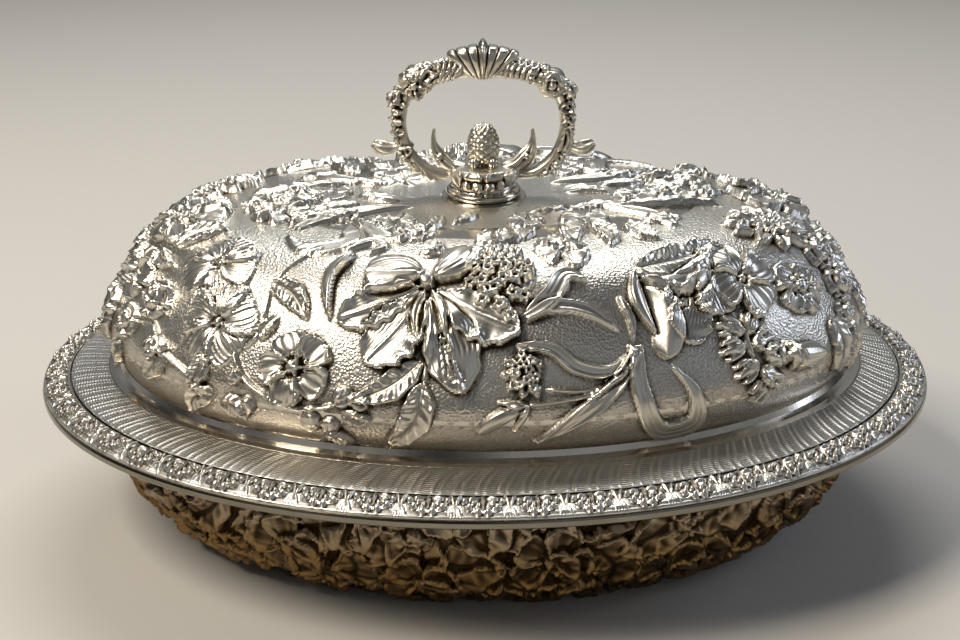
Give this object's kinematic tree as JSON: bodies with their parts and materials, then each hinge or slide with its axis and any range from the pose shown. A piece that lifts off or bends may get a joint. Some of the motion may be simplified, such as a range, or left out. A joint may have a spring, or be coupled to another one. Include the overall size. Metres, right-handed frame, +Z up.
{
  "type": "covered serving dish",
  "caption": "Oval covered serving dish with floral relief: bowl with a cast border, lift-off domed cover, and a locking loop handle with a cone finial.",
  "frame": {"origin": "centre of the bowl's flat underside, on the table", "axes": "+X along the dish's length, in the plane of the handle's loop, +Z up"},
  "size_m": [0.36, 0.266, 0.196],
  "materials": {
    "polished_silver": "polished",
    "chased_silver": "chased, dark in the hollows",
    "cast_silver": "cast, dark in the hollows"
  },
  "bodies": {
    "dish": {"dish_bowl": "chased_silver", "dish_brim": "polished_silver", "dish_edge_band": "polished_silver", "dish_border": "cast_silver", "dish_flowers_front": "chased_silver", "dish_flowers_back": "chased_silver"},
    "cover": {"cover_flange": "chased_silver", "cover_moulding": "polished_silver", "cover_dome": "chased_silver", "cover_seat": "polished_silver", "lock_plate": "polished_silver", "lock_stops": "polished_silver", "cover_iris_front": "chased_silver", "cover_iris_back": "chased_silver", "cover_straps_front": "chased_silver", "cover_straps_back": "chased_silver", "cover_blooms_right_front": "chased_silver", "cover_blooms_right_back": "chased_silver", "cover_blooms_left_front": "chased_silver", "cover_blooms_left_back": "chased_silver", "cover_crown_front": "chased_silver", "cover_crown_back": "chased_silver"},
    "handle": {"handle_foot": "polished_silver", "handle_calyx": "cast_silver", "handle_loop": "cast_silver", "handle_crest": "cast_silver", "handle_rose_left": "cast_silver", "handle_rose_right": "cast_silver", "handle_spur_left": "cast_silver", "handle_spur_right": "cast_silver", "handle_leaf_left": "cast_silver", "handle_leaf_right": "cast_silver", "handle_cone": "cast_silver", "handle_stud": "polished_silver", "lock_key": "polished_silver", "lock_washer": "polished_silver", "lock_nut": "polished_silver"}
  },
  "joints": [
    {"name": "cover_lift", "type": "slide", "parent": "dish", "child": "cover", "axis": [0, 0, 1], "range_m": [0, 0.15]},
    {"name": "handle_turn", "type": "hinge", "parent": "cover", "child": "handle", "pos_m": [0, 0, 0.1373], "axis": [0, 0, 1], "range_deg": [0, 90]}
  ]
}
